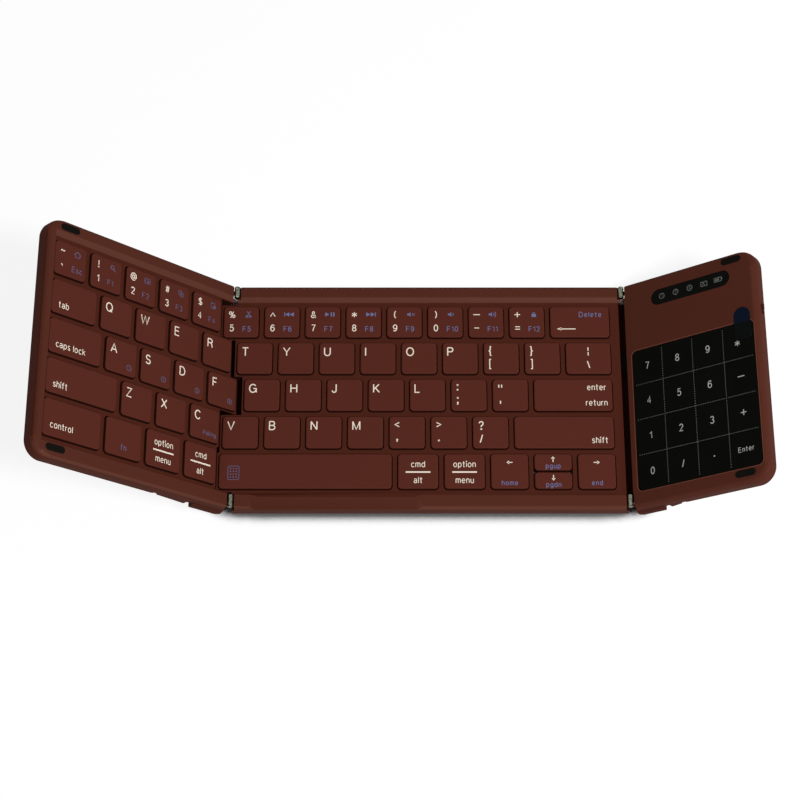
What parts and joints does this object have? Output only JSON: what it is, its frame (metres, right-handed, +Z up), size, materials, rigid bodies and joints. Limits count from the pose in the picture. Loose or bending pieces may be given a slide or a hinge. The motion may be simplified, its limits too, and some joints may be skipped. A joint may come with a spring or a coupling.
{
  "type": "folding keyboard",
  "caption": "Folding keyboard of a keyed base, a keyed left wing and a right wing with a touch number pad, both wings hinged upwards.",
  "frame": {"origin": "centre of the underside of the base's battery housing", "axes": "+X along the keyboard towards the touch wing, +Y to the rear, away from the typist, +Z up through the keys"},
  "size_m": [0.2689, 0.0942, 0.0715],
  "materials": {
    "cap_plastic": "soft matt",
    "shell_plastic": "soft matt",
    "tray_plastic": "soft matt",
    "steel": "bright",
    "dome_rubber": "matt",
    "black_rubber": "matt",
    "battery_foil": "foil",
    "flex_film": "dark film",
    "touch_surface": "gloss black glass, printed from behind",
    "window_plastic": "dark tinted",
    "circuit_board": "solder mask",
    "lamp_plastic": "clear",
    "switch_plastic": "matt",
    "pull_film": "clear film"
  },
  "bodies": {
    "base": {"base_tray": "tray_plastic", "base_frame": "shell_plastic", "base_key_plate": "steel", "base_dome_sheet": "dome_rubber", "battery_cell": "battery_foil", "base_screws": "steel", "base_feet": "black_rubber", "left_hinge_base_leaves": "steel", "right_hinge_base_leaves": "steel", "left_hinge_pins": "steel", "right_hinge_pins": "steel", "left_flex_cable": "flex_film", "right_flex_cable": "flex_film"},
    "left_wing": {"left_tray": "tray_plastic", "left_frame": "shell_plastic", "left_key_plate": "steel", "left_dome_sheet": "dome_rubber", "left_bumpers": "black_rubber", "left_screws": "steel", "left_hinge_wing_leaves": "steel", "left_feet": "black_rubber"},
    "right_wing": {"right_tray": "tray_plastic", "right_frame": "shell_plastic", "touch_glass": "touch_surface", "touch_board": "circuit_board", "indicator_window": "window_plastic", "indicator_lamps": "lamp_plastic", "charging_socket": "steel", "film_tab": "pull_film", "right_bumpers": "black_rubber", "right_screws": "steel", "right_hinge_wing_leaves": "steel", "right_feet": "black_rubber"},
    "power_switch": {"power_switch": "switch_plastic"},
    "left_number_keys": {"left_number_keys": "cap_plastic"},
    "tab_key": {"tab_key": "cap_plastic"},
    "left_upper_letter_keys": {"left_upper_letter_keys": "cap_plastic"},
    "caps_lock_key": {"caps_lock_key": "cap_plastic"},
    "left_home_letter_keys": {"left_home_letter_keys": "cap_plastic"},
    "left_shift_key": {"left_shift_key": "cap_plastic"},
    "left_lower_letter_keys": {"left_lower_letter_keys": "cap_plastic"},
    "control_key": {"control_key": "cap_plastic"},
    "fn_key": {"fn_key": "cap_plastic"},
    "left_option_key": {"left_option_key": "cap_plastic"},
    "left_command_key": {"left_command_key": "cap_plastic"},
    "number_keys": {"number_keys": "cap_plastic"},
    "delete_key": {"delete_key": "cap_plastic"},
    "upper_letter_keys": {"upper_letter_keys": "cap_plastic"},
    "backslash_key": {"backslash_key": "cap_plastic"},
    "home_letter_keys": {"home_letter_keys": "cap_plastic"},
    "enter_key": {"enter_key": "cap_plastic"},
    "lower_letter_keys": {"lower_letter_keys": "cap_plastic"},
    "right_shift_key": {"right_shift_key": "cap_plastic"},
    "space_key": {"space_key": "cap_plastic"},
    "right_command_key": {"right_command_key": "cap_plastic"},
    "right_option_key": {"right_option_key": "cap_plastic"},
    "left_arrow_key": {"left_arrow_key": "cap_plastic"},
    "up_arrow_key": {"up_arrow_key": "cap_plastic"},
    "down_arrow_key": {"down_arrow_key": "cap_plastic"},
    "right_arrow_key": {"right_arrow_key": "cap_plastic"}
  },
  "joints": [
    {"name": "left_fold", "type": "hinge", "parent": "base", "child": "left_wing", "pos_m": [-0.0756, 0, 0.01], "axis": [0, 1, 0], "range_deg": [-44.4, 135.6], "deforming": ["left_flex_cable"]},
    {"name": "right_fold", "type": "hinge", "parent": "base", "child": "right_wing", "pos_m": [0.0756, 0, 0.01], "axis": [0, -1, 0], "range_deg": [-37.3, 142.7], "deforming": ["right_flex_cable"]},
    {"name": "power_switch_slide", "type": "slide", "parent": "right_wing", "child": "power_switch", "axis": [0, -1, 0], "range_m": [0, 0.002]},
    {"name": "left_number_keys_press", "type": "slide", "parent": "left_wing", "child": "left_number_keys", "axis": [-0.6997, 0, -0.7145], "range_m": [0, 0.0013], "stiffness_N_per_m": 400, "springref_m": -0.0005, "deforming": ["left_dome_sheet"]},
    {"name": "tab_key_press", "type": "slide", "parent": "left_wing", "child": "tab_key", "axis": [-0.6997, 0, -0.7145], "range_m": [0, 0.0013], "stiffness_N_per_m": 400, "springref_m": -0.0005},
    {"name": "left_upper_letter_keys_press", "type": "slide", "parent": "left_wing", "child": "left_upper_letter_keys", "axis": [-0.6997, 0, -0.7145], "range_m": [0, 0.0013], "stiffness_N_per_m": 400, "springref_m": -0.0005},
    {"name": "caps_lock_key_press", "type": "slide", "parent": "left_wing", "child": "caps_lock_key", "axis": [-0.6997, 0, -0.7145], "range_m": [0, 0.0013], "stiffness_N_per_m": 400, "springref_m": -0.0005},
    {"name": "left_home_letter_keys_press", "type": "slide", "parent": "left_wing", "child": "left_home_letter_keys", "axis": [-0.6997, 0, -0.7145], "range_m": [0, 0.0013], "stiffness_N_per_m": 400, "springref_m": -0.0005},
    {"name": "left_shift_key_press", "type": "slide", "parent": "left_wing", "child": "left_shift_key", "axis": [-0.6997, 0, -0.7145], "range_m": [0, 0.0013], "stiffness_N_per_m": 400, "springref_m": -0.0005},
    {"name": "left_lower_letter_keys_press", "type": "slide", "parent": "left_wing", "child": "left_lower_letter_keys", "axis": [-0.6997, 0, -0.7145], "range_m": [0, 0.0013], "stiffness_N_per_m": 400, "springref_m": -0.0005},
    {"name": "control_key_press", "type": "slide", "parent": "left_wing", "child": "control_key", "axis": [-0.6997, 0, -0.7145], "range_m": [0, 0.0013], "stiffness_N_per_m": 400, "springref_m": -0.0005},
    {"name": "fn_key_press", "type": "slide", "parent": "left_wing", "child": "fn_key", "axis": [-0.6997, 0, -0.7145], "range_m": [0, 0.0013], "stiffness_N_per_m": 400, "springref_m": -0.0005},
    {"name": "left_option_key_press", "type": "slide", "parent": "left_wing", "child": "left_option_key", "axis": [-0.6997, 0, -0.7145], "range_m": [0, 0.0013], "stiffness_N_per_m": 400, "springref_m": -0.0005},
    {"name": "left_command_key_press", "type": "slide", "parent": "left_wing", "child": "left_command_key", "axis": [-0.6997, 0, -0.7145], "range_m": [0, 0.0013], "stiffness_N_per_m": 400, "springref_m": -0.0005},
    {"name": "number_keys_press", "type": "slide", "parent": "base", "child": "number_keys", "axis": [0, 0, -1], "range_m": [0, 0.0013], "stiffness_N_per_m": 400, "springref_m": -0.0005, "deforming": ["base_dome_sheet"]},
    {"name": "delete_key_press", "type": "slide", "parent": "base", "child": "delete_key", "axis": [0, 0, -1], "range_m": [0, 0.0013], "stiffness_N_per_m": 400, "springref_m": -0.0005},
    {"name": "upper_letter_keys_press", "type": "slide", "parent": "base", "child": "upper_letter_keys", "axis": [0, 0, -1], "range_m": [0, 0.0013], "stiffness_N_per_m": 400, "springref_m": -0.0005},
    {"name": "backslash_key_press", "type": "slide", "parent": "base", "child": "backslash_key", "axis": [0, 0, -1], "range_m": [0, 0.0013], "stiffness_N_per_m": 400, "springref_m": -0.0005},
    {"name": "home_letter_keys_press", "type": "slide", "parent": "base", "child": "home_letter_keys", "axis": [0, 0, -1], "range_m": [0, 0.0013], "stiffness_N_per_m": 400, "springref_m": -0.0005},
    {"name": "enter_key_press", "type": "slide", "parent": "base", "child": "enter_key", "axis": [0, 0, -1], "range_m": [0, 0.0013], "stiffness_N_per_m": 400, "springref_m": -0.0005},
    {"name": "lower_letter_keys_press", "type": "slide", "parent": "base", "child": "lower_letter_keys", "axis": [0, 0, -1], "range_m": [0, 0.0013], "stiffness_N_per_m": 400, "springref_m": -0.0005},
    {"name": "right_shift_key_press", "type": "slide", "parent": "base", "child": "right_shift_key", "axis": [0, 0, -1], "range_m": [0, 0.0013], "stiffness_N_per_m": 400, "springref_m": -0.0005},
    {"name": "space_key_press", "type": "slide", "parent": "base", "child": "space_key", "axis": [0, 0, -1], "range_m": [0, 0.0013], "stiffness_N_per_m": 400, "springref_m": -0.0005},
    {"name": "right_command_key_press", "type": "slide", "parent": "base", "child": "right_command_key", "axis": [0, 0, -1], "range_m": [0, 0.0013], "stiffness_N_per_m": 400, "springref_m": -0.0005},
    {"name": "right_option_key_press", "type": "slide", "parent": "base", "child": "right_option_key", "axis": [0, 0, -1], "range_m": [0, 0.0013], "stiffness_N_per_m": 400, "springref_m": -0.0005},
    {"name": "left_arrow_key_press", "type": "slide", "parent": "base", "child": "left_arrow_key", "axis": [0, 0, -1], "range_m": [0, 0.0013], "stiffness_N_per_m": 400, "springref_m": -0.0005},
    {"name": "up_arrow_key_press", "type": "slide", "parent": "base", "child": "up_arrow_key", "axis": [0, 0, -1], "range_m": [0, 0.0013], "stiffness_N_per_m": 400, "springref_m": -0.0005},
    {"name": "down_arrow_key_press", "type": "slide", "parent": "base", "child": "down_arrow_key", "axis": [0, 0, -1], "range_m": [0, 0.0013], "stiffness_N_per_m": 400, "springref_m": -0.0005},
    {"name": "right_arrow_key_press", "type": "slide", "parent": "base", "child": "right_arrow_key", "axis": [0, 0, -1], "range_m": [0, 0.0013], "stiffness_N_per_m": 400, "springref_m": -0.0005}
  ]
}
